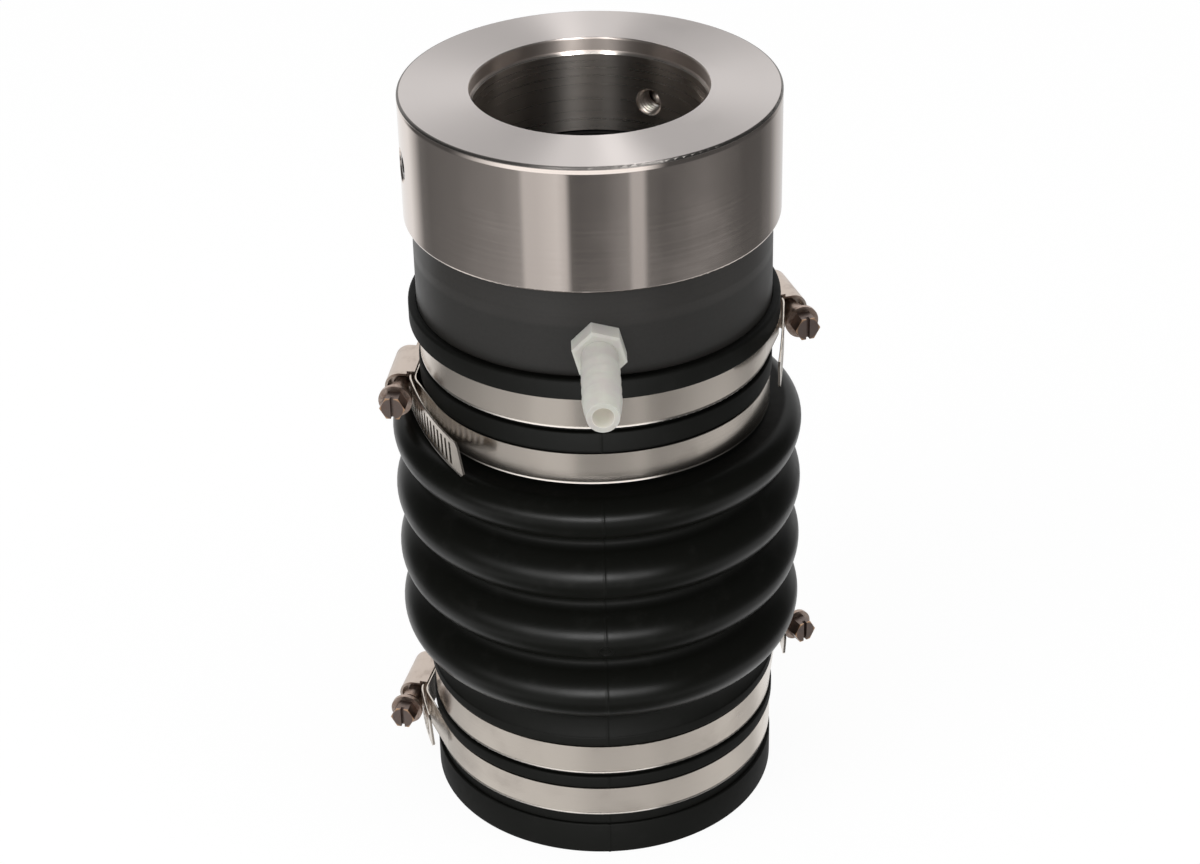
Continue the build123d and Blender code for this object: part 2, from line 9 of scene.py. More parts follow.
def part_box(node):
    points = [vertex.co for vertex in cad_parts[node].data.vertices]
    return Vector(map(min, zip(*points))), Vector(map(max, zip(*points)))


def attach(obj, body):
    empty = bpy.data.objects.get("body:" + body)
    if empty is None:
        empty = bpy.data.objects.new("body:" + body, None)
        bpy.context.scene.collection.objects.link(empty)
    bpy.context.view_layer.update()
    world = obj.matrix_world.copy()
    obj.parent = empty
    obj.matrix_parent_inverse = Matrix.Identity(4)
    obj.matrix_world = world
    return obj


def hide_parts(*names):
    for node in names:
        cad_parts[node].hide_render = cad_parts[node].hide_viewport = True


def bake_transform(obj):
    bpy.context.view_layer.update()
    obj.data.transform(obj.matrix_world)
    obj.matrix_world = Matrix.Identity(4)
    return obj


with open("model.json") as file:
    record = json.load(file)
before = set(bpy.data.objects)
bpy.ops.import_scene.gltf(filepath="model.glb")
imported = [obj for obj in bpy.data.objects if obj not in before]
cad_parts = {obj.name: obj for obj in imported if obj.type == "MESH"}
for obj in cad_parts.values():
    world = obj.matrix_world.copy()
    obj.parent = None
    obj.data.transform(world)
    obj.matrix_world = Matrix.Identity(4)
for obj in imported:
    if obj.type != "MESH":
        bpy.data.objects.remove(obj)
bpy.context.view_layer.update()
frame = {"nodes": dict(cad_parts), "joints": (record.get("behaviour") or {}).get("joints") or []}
nodes = frame["nodes"]
scene = bpy.context.scene
scene.view_settings.view_transform = "Standard"
print("frame loaded,", len(nodes), "CAD pieces")


# Node trees. A Value is one output of a node, and maths on it adds the nodes for that maths.
class Value:
    def __init__(self, tree, socket):
        self.tree = tree
        self.socket = socket

    def output(self, name):
        return Value(self.tree, self.socket.node.outputs[name])

    def __add__(self, other):
        return self.tree.maths("ADD", self, other)

    def __sub__(self, other):
        return self.tree.maths("SUBTRACT", self, other)

    def __rsub__(self, other):
        return self.tree.maths("SUBTRACT", other, self)

    def __mul__(self, other):
        return self.tree.maths("MULTIPLY", self, other)

    def __truediv__(self, other):
        return self.tree.maths("DIVIDE", self, other)

    def __rtruediv__(self, other):
        return self.tree.maths("DIVIDE", other, self)

    __radd__ = __add__
    __rmul__ = __mul__


class Tree:
    def __init__(self, nodeTree):
        self.nodeTree = nodeTree

    # every node comes from here: its type, its settings, then the values or links of its sockets
    def node(self, kind, settings=None, sockets=None, output=0):
        made = self.nodeTree.nodes.new(kind)
        for name, setting in (settings or {}).items():
            if name == "stops":
                self.setStops(made.color_ramp, setting)
            else:
                setattr(made, name, setting)
        self.feed(made, sockets or {})
        return Value(self, made.outputs[output]) if made.outputs else made

    def feed(self, made, sockets):
        for name, given in sockets.items():
            if isinstance(given, Value):
                self.nodeTree.links.new(given.socket, made.inputs[name])
            else:
                made.inputs[name].default_value = given

    def setStops(self, ramp, stops):
        first, *middle, last = stops
        for element, (place, grey) in zip(ramp.elements, (first, last)):
            element.position = place
            element.color = (grey, grey, grey, 1)
        for place, grey in middle:
            ramp.elements.new(place).color = (grey, grey, grey, 1)

    def maths(self, operation, *numbers):
        return self.node("ShaderNodeMath", {"operation": operation}, dict(enumerate(numbers)))

    def split(self, vector):
        x = self.node("ShaderNodeSeparateXYZ", sockets={"Vector": vector})
        return x, x.output("Y"), x.output("Z")

    # 0 below low, 1 above high, smooth between them
    def rise(self, value, low, high):
        return self.node(
            "ShaderNodeMapRange",
            {"interpolation_type": "SMOOTHSTEP"},
            {"Value": value, "From Min": low, "From Max": high},
        )

    # the same, between two depths below a top
    def riseBelow(self, value, top, depths):
        return self.rise(value, *(top - depth for depth in depths))

    def noise(self, place, scale, detail=3.0, roughness=0.5):
        return self.node(
            "ShaderNodeTexNoise",
            sockets={"Vector": place, "Scale": scale, "Detail": detail, "Roughness": roughness},
        )

    # noise that runs one way only, as turning and brushing lines do
    def lines(self, distance, scale, detail=2.0):
        return self.node(
            "ShaderNodeTexNoise",
            {"noise_dimensions": "1D"},
            {"W": distance * scale, "Scale": 1.0, "Detail": detail},
        )

    def mix(self, share, first, second):
        return self.node("ShaderNodeMix", sockets={0: share, 2: first, 3: second})

    def mixColours(self, share, first, second):
        return self.node(
            "ShaderNodeMix",
            {"data_type": "RGBA"},
            {0: share, 6: first, 7: second},
            output=2,
        )

    def bump(self, height, depth, under=None):
        sockets = {"Height": height, "Distance": depth, "Strength": 1.0}
        if under is not None:
            sockets["Normal"] = under
        return self.node("ShaderNodeBump", sockets=sockets)

    def vector(self, x, y, z):
        return self.node("ShaderNodeCombineXYZ", sockets={"X": x, "Y": y, "Z": z})

    def distance(self, first, second):
        settings = {"operation": "DISTANCE"}
        return self.node("ShaderNodeVectorMath", settings, {0: first, 1: second}, output="Value")


# A geometry tree has one named input for each size that it is given
class GeometryTree(Tree):
    sockets = {float: "NodeSocketFloat", int: "NodeSocketInt"}

    def __init__(self, name, sizes):
        super().__init__(bpy.data.node_groups.new(name, "GeometryNodeTree"))
        face = self.nodeTree.interface
        face.new_socket("Geometry", in_out="INPUT", socket_type="NodeSocketGeometry")
        self.identifiers = {}
        for size, value in sizes.items():
            socket = face.new_socket(size, in_out="INPUT", socket_type=self.sockets[type(value)])
            self.identifiers[size] = socket.identifier
        socket = face.new_socket("material", in_out="INPUT", socket_type="NodeSocketMaterial")
        self.identifiers["material"] = socket.identifier
        face.new_socket("Geometry", in_out="OUTPUT", socket_type="NodeSocketGeometry")
        self.given = self.node("NodeGroupInput")

    def size(self, name):
        return self.given.output(name)

    def move(self, geometry, position=None, offset=None):
        sockets = {"Geometry": geometry}
        if position is not None:
            sockets["Position"] = position
        if offset is not None:
            sockets["Offset"] = offset
        return self.node("GeometryNodeSetPosition", sockets=sockets)

    def join(self, *parts):
        joined = self.node("GeometryNodeJoinGeometry")
        for part in parts:
            self.nodeTree.links.new(part.socket, joined.socket.node.inputs[0])
        return joined

    # the last steps of every tree
    def end(self, geometry):
        real = self.node("GeometryNodeRealizeInstances", sockets={"Geometry": geometry})
        sockets = {"Geometry": real, "Material": self.size("material")}
        painted = self.node("GeometryNodeSetMaterial", sockets=sockets)
        self.node("NodeGroupOutput", sockets={"Geometry": painted})

    # runs the tree on some starting data and gives the plain mesh
    def grow(self, data, sizes, material):
        carrier = bpy.data.objects.new(self.nodeTree.name, data)
        scene.collection.objects.link(carrier)
        modifier = carrier.modifiers.new(self.nodeTree.name, "NODES")
        modifier.node_group = self.nodeTree
        for name, value in (sizes | {"material": material}).items():
            modifier[self.identifiers[name]] = value
        carrier.update_tag()
        evaluated = carrier.evaluated_get(bpy.context.evaluated_depsgraph_get())
        mesh = bpy.data.meshes.new_from_object(evaluated)
        bpy.data.objects.remove(carrier)
        return mesh


def colour(red, green, blue):
    return (red, green, blue, 1.0)


def middleHeight(name):
    low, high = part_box(name)
    return (low.z + high.z) / 2


# Camera, at the photograph's own viewpoint
cameraView = {
    "place": (0.0, -0.835846, 0.645242),
    "yaw": 0.0618,
    "pitch": -31.039,
    "roll": -1.272,
    "lens": 81.0,
    "sensor": 36.0,
    "clipStart": 0.01,
}


def setCamera(view):
    yaw, pitch, roll = (radians(view[turn]) for turn in ("yaw", "pitch", "roll"))
    turned = (
        Matrix.Rotation(-yaw, 4, "Z")
        @ Matrix.Rotation(pi / 2 + pitch, 4, "X")
        @ Matrix.Rotation(roll, 4, "Z")
    )
    lens = bpy.data.cameras.new("photoView")
    lens.lens = view["lens"]
    lens.sensor_width = view["sensor"]
    lens.clip_start = view["clipStart"]
    camera = bpy.data.objects.new("photoView", lens)
    camera.matrix_world = Matrix.Translation(view["place"]) @ turned
    scene.collection.objects.link(camera)
    scene.camera = camera


setCamera(cameraView)
print("camera placed")


# Studio: white all round for the camera. Reflections see rows of panels, one row for each height
# that the upright metal mirrors: the near floor, then the rows of the lower straps, the upper
# straps and the rotor. Above them are a low front light and a white backdrop. Azimuths are degrees
# from the front, to the right, and rises are degrees above the horizon. The front light is its
# level, then where it rises and fades in height and in azimuth, and a lamp is its place, its size
# and its power.
studio = {
    "plainLevel": 0.55,
    "rotorPanels": (
        (-180, 0.95), (-140, 0.9), (-131, 0.55), (-123, 0.17), (-114, 0.13), (-86, 0.16),
        (-56, 0.23), (-44, 0.31), (-41, 0.58), (-33, 0.6), (-21, 0.72), (-16, 0.6), (-13, 0.12),
        (-9, 0.1), (-3, 0.11), (6, 0.13), (14, 0.2), (21, 0.26), (23.5, 0.5), (30, 0.5),
        (33, 0.14), (43, 0.11), (70, 0.17), (103, 0.09), (120, 0.1), (134, 0.2), (146, 0.5),
        (158, 0.65), (180, 0.8),
    ),
    "upperStrapPanels": (
        (-180, 0.95), (-131, 0.95), (-125, 0.7), (-120, 0.34), (-108, 0.34), (-89, 0.38),
        (-70, 0.5), (-50, 0.5), (-28, 0.42), (-18, 0.36), (-8, 0.21), (4, 0.18), (20, 0.25),
        (42, 0.28), (56, 0.46), (72, 0.66), (90, 0.84), (104, 0.8), (111, 0.66), (122, 0.6),
        (131, 0.85), (180, 0.95),
    ),
    "lowerStrapPanels": (
        (-180, 0.95), (-150, 0.9), (-138, 0.4), (-120, 0.7), (-90, 0.86), (-40, 0.86),
        (-10, 0.82), (20, 0.8), (60, 0.68), (90, 0.64), (125, 0.5), (140, 0.85), (180, 0.95),
    ),
    "nearFloorPanels": (
        (-180, 1.0), (-112, 0.95), (-84, 0.3), (-60, 0.12), (60, 0.12), (84, 0.3), (112, 0.95),
        (180, 1.0),
    ),
    "rowEdges": ((-48.0, -43.0), (-37.0, -34.0), (-30.6, -28.9), (-19.0, -15.0)),
    "frontLight": (1.25, (-18.0, -13.0, -4.0, 7.0), (-90.0, -42.0, 26.0, 44.0)),
    "backdropLevel": 0.93,
    "backdropAzimuth": (124.0, 148.0),
    "overheadLevel": 0.08,
    "overheadRise": (56.0, 82.0),
    "keyLamp": ((-0.9, -0.8, 1.1), 1.1, 7.0),
    "fillLamp": ((1.2, -0.5, 0.7), 0.9, 3.0),
    "lampAim": (0, 0, 0.14),
    "boreLamps": (
        ((0.3, -0.85, 1.15), 0.26, 7.4),
        ((-0.34, -0.85, 1.15), 0.15, 3.2),
        ((-0.03, -0.85, 1.15), (0.9, 0.2), 2.4),
    ),
    "lowLamps": ((-50, 0.06), (-28, 0.32), (-6, 0.8), (14, 0.4)),  # azimuth and power
    "lowLampDistance": 0.5,
    "lowLampHeight": 0.055,
    "lowLampSize": (0.2, 0.11),
    "lowLampAim": (0, 0, 0.1),
    "floorSize": 8.0,
    "floorWhite": colour(0.9, 0.9, 0.9),
    "floorGlow": 1.04,
    "glowShare": 0.9,
}


def window(tree, value, edges):
    start, full, fade, end = edges
    return tree.rise(value, start, full) * (1 - tree.rise(value, fade, end))


def panelRow(tree, azimuth, panels):
    stops = [((turn + 180) / 360, level) for turn, level in panels]
    return tree.node("ShaderNodeValToRGB", {"stops": stops}, {"Fac": azimuth / 360 + 0.5})


def paintWorld(sizes):
    world = bpy.data.worlds.new("studio")
    scene.world = world
    world.use_nodes = True
    world.cycles.sampling_method = "NONE"
    tree = Tree(world.node_tree)
    x, y, z = tree.split(tree.node("ShaderNodeTexCoord", output="Generated"))
    azimuth = tree.maths("ARCTAN2", x, 0 - y) * (360 / tau)
    height = tree.maths("ARCSINE", z) * (360 / tau)
    back = tree.rise(tree.maths("ABSOLUTE", azimuth), *sizes["backdropAzimuth"])
    overhead = tree.rise(height, *sizes["overheadRise"])
    upper = tree.mix(back * (1 - overhead), sizes["overheadLevel"], sizes["backdropLevel"])
    rows = [
        panelRow(tree, azimuth, sizes[name])
        for name in ("nearFloorPanels", "lowerStrapPanels", "upperStrapPanels", "rotorPanels")
    ]
    painted = rows[0]
    for row, edge in zip(rows[1:] + [upper], sizes["rowEdges"]):
        painted = tree.mix(tree.rise(height, *edge), painted, row)
    level, rise, turn = sizes["frontLight"]
    front = window(tree, height, rise) * window(tree, azimuth, turn)
    painted = tree.mix(front, painted, level)
    path = tree.node("ShaderNodeLightPath", output="Is Camera Ray")
    seen = tree.maths("MAXIMUM", path, path.output("Is Transmission Ray"))
    level = tree.mix(path.output("Is Glossy Ray"), sizes["plainLevel"], painted)
    background = world.node_tree.nodes["Background"]
    tree.feed(background, {"Color": colour(1, 1, 1), "Strength": tree.mix(seen, level, 1.0)})


# a lamp that shines on chosen pieces only is also seen in them
def addLamp(name, place, size, power, aim, shinesOn=()):
    light = bpy.data.lights.new(name, "AREA")
    light.shape = "RECTANGLE" if isinstance(size, tuple) else "DISK"
    light.size, light.size_y = size if isinstance(size, tuple) else (size, size)
    light.energy = power
    lamp = bpy.data.objects.new(name, light)
    towards = Vector(aim) - Vector(place)
    turn = towards.to_track_quat("-Z", "Y").to_matrix().to_4x4()
    lamp.matrix_world = Matrix.Translation(place) @ turn
    lamp.visible_camera = False
    lamp.visible_glossy = bool(shinesOn)
    scene.collection.objects.link(lamp)
    if shinesOn:
        lit = bpy.data.collections.new(name)
        for piece in shinesOn:
            lit.objects.link(piece)
        lamp.light_linking.receiver_collection = lit


def addFloor(sizes):
    half = sizes["floorSize"] / 2
    mesh = bpy.data.meshes.new("floor")
    corners = [(-half, -half, 0), (half, -half, 0), (half, half, 0), (-half, half, 0)]
    mesh.from_pydata(corners, [], [(0, 1, 2, 3)])
    floor = bpy.data.objects.new("floor", mesh)
    scene.collection.objects.link(floor)
    material = bpy.data.materials.new("whiteFloor")
    material.use_nodes = True
    tree = Tree(material.node_tree)
    material.node_tree.nodes.remove(material.node_tree.nodes["Principled BSDF"])
    path = tree.node("ShaderNodeLightPath", output="Is Camera Ray")
    seen = tree.maths("MAXIMUM", path, path.output("Is Glossy Ray"))
    seen = tree.maths("MAXIMUM", seen, path.output("Is Transmission Ray"))
    matt = tree.node("ShaderNodeBsdfDiffuse", sockets={"Color": sizes["floorWhite"]})
    lit = {"Color": colour(1, 1, 1), "Strength": sizes["floorGlow"]}
    glow = tree.node("ShaderNodeEmission", sockets=lit)
    mixed = tree.node(
        "ShaderNodeMixShader", sockets={0: seen * sizes["glowShare"], 1: matt, 2: glow}
    )
    tree.feed(material.node_tree.nodes["Material Output"], {"Surface": mixed})
    mesh.materials.append(material)
    floor.visible_glossy = False


paintWorld(studio)
for lampName in ("keyLamp", "fillLamp"):
    addLamp(lampName, *studio[lampName], studio["lampAim"])
addFloor(studio)
print("studio lit")


# Materials. Each starts from one shader with its fixed numbers, and is fed what varies. In the
# dictionaries a noise is its scale, detail and roughness, and a pair is where a change begins and
# where it is complete.
def newMaterial(name, fixed):
    material = bpy.data.materials.new(name)
    material.use_nodes = True
    tree = Tree(material.node_tree)
    tree.shader = material.node_tree.nodes["Principled BSDF"]
    tree.feed(tree.shader, fixed)
    tree.place = tree.node("ShaderNodeTexCoord", output="Object")
    tree.x, tree.y, tree.z = tree.split(tree.place)
    tree.radius = tree.distance(tree.vector(tree.x, tree.y, 0.0), (0, 0, 0))
    return material, tree


def paint(name, material):
    slots = nodes[name].data.materials
    slots.clear()
    slots.append(material)


rotorFinish = {
    "fixed": {"Metallic": 1.0, "Anisotropic": 0.88, "Anisotropic Rotation": 0.25},
    "steel": colour(0.77, 0.685, 0.63),
    "boreSteelPaintedShade": colour(0.60, 0.555, 0.515),
    "stained": colour(0.67, 0.58, 0.52),
    "faced": colour(0.69, 0.65, 0.635),
    # painted shade: a dark colour for the outer top edge
    "edgeSteelPaintedShade": colour(0.20, 0.188, 0.178),
    "stainNoise": (60.0, 5.0, 0.7),
    "stain": (0.5, 0.9),
    "stainShare": 0.35,
    "facedShare": 0.85,
    "sideRoughness": 0.085,
    "topRoughness": 0.46,
    "boreRoughness": 0.28,
    "mouthRoughness": 0.43,
    "edgeRoughness": 0.45,
    "wipeNoise": (28.0, 4.0, 0.6),
    "wiped": (0.52, 0.72),
    "wipedRoughness": 0.03,
    "boreRadius": (0.0402, 0.0408),
    "mouthRadius": (0.045, 0.0456),
    "topSkin": (0.0003, 0.0001),
    "edge": (0.0011, 0.000715),
    "easedEdge": (0.0027, 0.0007),
    "edgeDrop": 0.00026,
    "rim": (0.0009, 0.0),
    "rimDrop": 0.0004,
    "turningPitch": 0.0011,
    "turningDepth": 0.000002,
    "turningRoughness": 0.04,
    "finePitch": 0.00032,
    "fineShare": 0.2,
    "fineInBump": 0.4,
}


def turnedSteel(sizes):
    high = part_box("rotor")[1]
    material, tree = newMaterial("turnedSteel", sizes["fixed"])
    # feed marks run round the ring, so they change only along its profile, and both edges of the
    # top are eased by cuts too fine to model
    along = tree.radius + tree.z
    coarse = tree.lines(along, 1 / sizes["turningPitch"])
    fine = tree.lines(along, 1 / sizes["finePitch"], 1.0)
    wiped = tree.rise(tree.noise(tree.place, *sizes["wipeNoise"]), *sizes["wiped"])
    outer = tree.riseBelow(tree.radius, high.x, sizes["edge"])
    corner = tree.riseBelow(tree.z, high.z, sizes["edge"]) * outer
    top = tree.riseBelow(tree.z, high.z, sizes["topSkin"]) * (1 - outer)
    bore = 1 - tree.rise(tree.radius, *sizes["boreRadius"])
    mouth = 1 - tree.rise(tree.radius, *sizes["mouthRadius"])
    roughness = tree.mix(mouth, sizes["sideRoughness"], sizes["mouthRoughness"])
    roughness = tree.mix(bore, roughness, sizes["boreRoughness"])
    roughness = tree.mix(corner, roughness, sizes["edgeRoughness"])
    roughness = tree.mix(top, roughness, sizes["topRoughness"])
    roughness = roughness + (coarse - 0.5) * sizes["turningRoughness"]
    roughness = roughness + wiped * sizes["wipedRoughness"]
    stain = tree.rise(tree.noise(tree.place, *sizes["stainNoise"]), *sizes["stain"])
    stain = stain * sizes["stainShare"] + (fine - 0.5) * sizes["fineShare"]
    base = tree.mixColours(stain, sizes["steel"], sizes["stained"])
    # painted shade: the bore is given a darker steel colour for the shade inside it
    base = tree.mixColours(bore, base, sizes["boreSteelPaintedShade"])
    # painted shade: the outer top edge is darkened, standing in for the dark line along its fillet
    base = tree.mixColours(corner, base, sizes["edgeSteelPaintedShade"])
    base = tree.mixColours(top * sizes["facedShare"], base, sizes["faced"])
    eased = (1 - tree.riseBelow(tree.z, high.z, sizes["easedEdge"])) * (1 - mouth)
    rim = (1 - tree.riseBelow(tree.z, high.z, sizes["rim"])) * mouth
    marks = tree.bump(tree.mix(sizes["fineInBump"], coarse, fine), sizes["turningDepth"])
    marks = tree.bump(eased, sizes["edgeDrop"], marks)
    marks = tree.bump(rim, sizes["rimDrop"], marks)
    tree.feed(tree.shader, {"Base Color": base, "Roughness": roughness, "Normal": marks})
    return material


rubberFinish = {
    "fixed": {"Specular IOR Level": 0.16},
    "clean": colour(0.0032, 0.0034, 0.0026),
    "dusty": colour(0.0085, 0.0084, 0.0074),
    "dustNoise": (75.0, 6.0, 0.72),
    "dust": (0.5, 0.78),
    "dustShare": 0.6,
    "dustRoughness": 0.08,
    "roughness": 0.3,
    "valley": (0.0667, 0.0683),
    "valleyRoughness": 0.3,
    "poreNoise": (420.0, 4.0, 0.65),
    "poreRoughness": 0.1,
    "grainNoise": (2600.0, 2.0, 0.5),
    "grainShare": 0.3,
    "grainInBump": 0.3,
    "grainDepth": 0.000004,
    "waveNoise": (34.0, 2.0, 0.5),
    "waveDepth": 0.0001,
    "mark": (0.00127, -0.0733, 0.0965),
    "markRadius": 0.0025,
    "markEdge": (0.0002, 0.0005),
    "markDepth": 0.0003,
}


def mouldedRubber(sizes):
    material, tree = newMaterial("mouldedRubber", sizes["fixed"])
    grain = tree.noise(tree.place, *sizes["grainNoise"])
    pores = tree.noise(tree.place, *sizes["poreNoise"])
    wave = tree.noise(tree.place, *sizes["waveNoise"])
    dust = tree.rise(tree.noise(tree.place, *sizes["dustNoise"]), *sizes["dust"])
    share = dust * sizes["dustShare"] + (grain - 0.5) * sizes["grainShare"]
    base = tree.mixColours(share, sizes["clean"], sizes["dusty"])
    valley = 1 - tree.rise(tree.radius, *sizes["valley"])
    roughness = sizes["roughness"] + dust * sizes["dustRoughness"]
    roughness = roughness + valley * sizes["valleyRoughness"]
    roughness = roughness + (pores - 0.5) * sizes["poreRoughness"]
    # a small round ejector mark beside the mould seam
    off = tree.maths("ABSOLUTE", tree.distance(tree.place, sizes["mark"]) - sizes["markRadius"])
    ring = 1 - tree.rise(off, *sizes["markEdge"])
    normal = tree.bump(wave, sizes["waveDepth"])
    normal = tree.bump(ring, sizes["markDepth"], normal)
    rough = tree.mix(sizes["grainInBump"], pores, grain)
    normal = tree.bump(rough, sizes["grainDepth"], normal)
    tree.feed(tree.shader, {"Base Color": base, "Roughness": roughness, "Normal": normal})
    return material


carbonFinish = {
    "fixed": {"Specular IOR Level": 0.55},
    "dark": colour(0.0195, 0.0185, 0.0165),
    "light": colour(0.037, 0.034, 0.031),
    "roughness": 0.45,
    "cloudNoise": (45.0, 4.0, 0.6),
    "cloudShare": 0.5,
    "cloudRoughness": 0.16,
    "speckNoise": (900.0, 2.0, 0.5),
    "speckShare": 0.5,
    "speckInBump": 0.4,
    "nose": (0.0145, 0.0125),
    "noseShare": 0.5,
    "nosePolish": 0.06,
    "linePitch": 0.0009,
    "lineShare": 0.3,
    "lineDepth": 0.000006,
}


def turnedCarbon(sizes):
    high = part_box("stator")[1]
    material, tree = newMaterial("turnedCarbon", sizes["fixed"])
    coarse = tree.lines(tree.radius + tree.z, 1 / sizes["linePitch"])
    speck = tree.noise(tree.place, *sizes["speckNoise"])
    cloud = tree.noise(tree.place, *sizes["cloudNoise"])
    nose = tree.riseBelow(tree.z, high.z, sizes["nose"])
    share = cloud * sizes["cloudShare"] + (speck - 0.5) * sizes["speckShare"]
    share = share + nose * sizes["noseShare"] + (coarse - 0.5) * sizes["lineShare"]
    base = tree.mixColours(share, sizes["dark"], sizes["light"])
    roughness = sizes["roughness"] + (cloud - 0.5) * sizes["cloudRoughness"]
    roughness = roughness - nose * sizes["nosePolish"]
    normal = tree.bump(tree.mix(sizes["speckInBump"], coarse, speck), sizes["lineDepth"])
    tree.feed(tree.shader, {"Base Color": base, "Roughness": roughness, "Normal": normal})
    return material


nylonFinish = {
    "fixed": {
        "Subsurface Weight": 0.55,
        "Subsurface Radius": (1.0, 0.95, 0.85),
        "Subsurface Scale": 0.0022,
        "Specular IOR Level": 0.5,
        "Emission Strength": 1.0,
    },
    "milky": colour(0.69, 0.695, 0.63),
    "pinkish": colour(0.67, 0.635, 0.605),
    "pink": (0.35, 0.7),
    "roughness": 0.36,
    "flowNoise": (130.0, 3.0, 0.55),
    "flowRoughness": 0.2,
    "flowDepth": 0.00005,
    "grainNoise": (1500.0, 2.0, 0.5),
    "grainInBump": 0.15,
    "azimuth": radians(271.0),
    "bore": (0.0035, 0.0038),
    "dark": colour(0, 0, 0),
    "glow": colour(0.24, 0.225, 0.2),
    "leastGlow": 0.6,
}


def mouldedNylon(sizes):
    material, tree = newMaterial("mouldedNylon", sizes["fixed"])
    flow = tree.noise(tree.place, *sizes["flowNoise"])
    grain = tree.noise(tree.place, *sizes["grainNoise"])
    base = tree.mixColours(tree.rise(flow, *sizes["pink"]), sizes["milky"], sizes["pinkish"])
    roughness = sizes["roughness"] + (flow - 0.5) * sizes["flowRoughness"]
    normal = tree.bump(tree.mix(sizes["grainInBump"], flow, grain), sizes["flowDepth"])
    # painted glow in the bore: emission stands in for light that comes through the wall
    across = tree.y * cos(sizes["azimuth"]) - tree.x * sin(sizes["azimuth"])
    above = tree.z - middleHeight("hose_barb")
    fromAxis = tree.maths("SQRT", across * across + above * above)
    inBore = 1 - tree.rise(fromAxis, *sizes["bore"])
    inBore = inBore * tree.mix(flow, sizes["leastGlow"], 1.0)
    glow = tree.mixColours(inBore, sizes["dark"], sizes["glow"])
    tree.feed(
        tree.shader,
        {"Base Color": base, "Roughness": roughness, "Normal": normal, "Emission Color": glow},
    )
    return material


stripFinish = {
    "fixed": {"Metallic": 1.0, "Anisotropic": 0.45, "Anisotropic Rotation": 0.25},
    "bright": colour(0.75, 0.68, 0.605),
    "dull": colour(0.58, 0.51, 0.45),
    "roughness": 0.22,
    "dullNoise": (60.0, 3.0, 0.55),
    "dulled": (0.45, 0.8),
    "dullShare": 0.3,
    "dullRoughness": 0.06,
    "brushPitch": 0.0006,
    "brushDetail": 3.0,
    "brushShare": 0.15,
    "brushRoughness": 0.05,
    "brushDepth": 0.000002,
    "lipPaintedHighlight": colour(0.93, 0.88, 0.83),
    "lipRoughness": 0.1,
    "lipHeight": 0.0011,
    "lipDrop": 0.00017,
}


# the strip's lower edge is rolled out a little, too little to model, and catches the front light;
# its colour there is also painted lighter as a highlight
def brushedStrip(sizes, name):
    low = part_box(name)[0]
    material, tree = newMaterial(f"brushed_{name}", sizes["fixed"])
    lip = 1 - tree.rise(tree.z, low.z, low.z + sizes["lipHeight"])
    brushed = tree.lines(tree.z, 1 / sizes["brushPitch"], sizes["brushDetail"])
    dull = tree.rise(tree.noise(tree.place, *sizes["dullNoise"]), *sizes["dulled"])
    share = dull * sizes["dullShare"] + (brushed - 0.5) * sizes["brushShare"]
    base = tree.mixColours(share, sizes["bright"], sizes["dull"])
    # painted highlight: the lower edge's colour is made lighter
    base = tree.mixColours(lip, base, sizes["lipPaintedHighlight"])
    roughness = sizes["roughness"] + dull * sizes["dullRoughness"]
    roughness = roughness + (brushed - 0.5) * sizes["brushRoughness"]
    roughness = tree.mix(lip, roughness, sizes["lipRoughness"])
    normal = tree.bump(brushed, sizes["brushDepth"])
    normal = tree.bump(lip, sizes["lipDrop"], normal)
    tree.feed(tree.shader, {"Base Color": base, "Roughness": roughness, "Normal": normal})
    return material


housingFinish = {
    "fixed": {"Metallic": 1.0},
    "bright": colour(0.66, 0.565, 0.495),
    "dull": colour(0.45, 0.37, 0.31),
    "roughness": 0.33,
    "cloudNoise": (160.0, 5.0, 0.65),
    "dulled": (0.48, 0.78),
    "dullShare": 0.6,
    "dullRoughness": 0.12,
    "scuffNoise": (1100.0, 3.0, 0.6),
    "scuffRoughness": 0.14,
    "cloudInBump": 0.6,
    "scuffDepth": 0.00003,
}


def pressedSteel(sizes):
    material, tree = newMaterial("pressedSteel", sizes["fixed"])
    cloud = tree.noise(tree.place, *sizes["cloudNoise"])
    scuff = tree.noise(tree.place, *sizes["scuffNoise"])
    dull = tree.rise(cloud, *sizes["dulled"])
    base = tree.mixColours(dull * sizes["dullShare"], sizes["bright"], sizes["dull"])
    roughness = sizes["roughness"] + dull * sizes["dullRoughness"]
    roughness = roughness + (scuff - 0.5) * sizes["scuffRoughness"]
    normal = tree.bump(tree.mix(sizes["cloudInBump"], scuff, cloud), sizes["scuffDepth"])
    tree.feed(tree.shader, {"Base Color": base, "Roughness": roughness, "Normal": normal})
    return material


screwFinish = {
    "fixed": {"Metallic": 0.9},
    "tarnish": colour(0.40, 0.29, 0.235),
    "bronze": colour(0.60, 0.49, 0.425),
    "amber": colour(0.80, 0.50, 0.30),
    "soot": colour(0.075, 0.058, 0.06),
    "roughness": 0.34,
    "blotchNoise": (420.0, 5.0, 0.7),
    "blotchRoughness": 0.3,
    "bronzed": (0.35, 0.65),
    "grimeNoise": (900.0, 3.0, 0.6),
    "blotchInGrime": 0.4,
    "blotchInBump": 0.5,
    "grimeDepth": 0.00001,
    "sooted": (0.5, 0.66),
    "sootShare": 0.5,
    "headSoot": 0.66,
    "headBlotches": 0.7,
    "amberShare": 0.8,
    "head": (0.0055, 0.0053),
    "headFace": (0.0006, 0.0001),
    "headEdge": (0.0037, 0.0043),
}


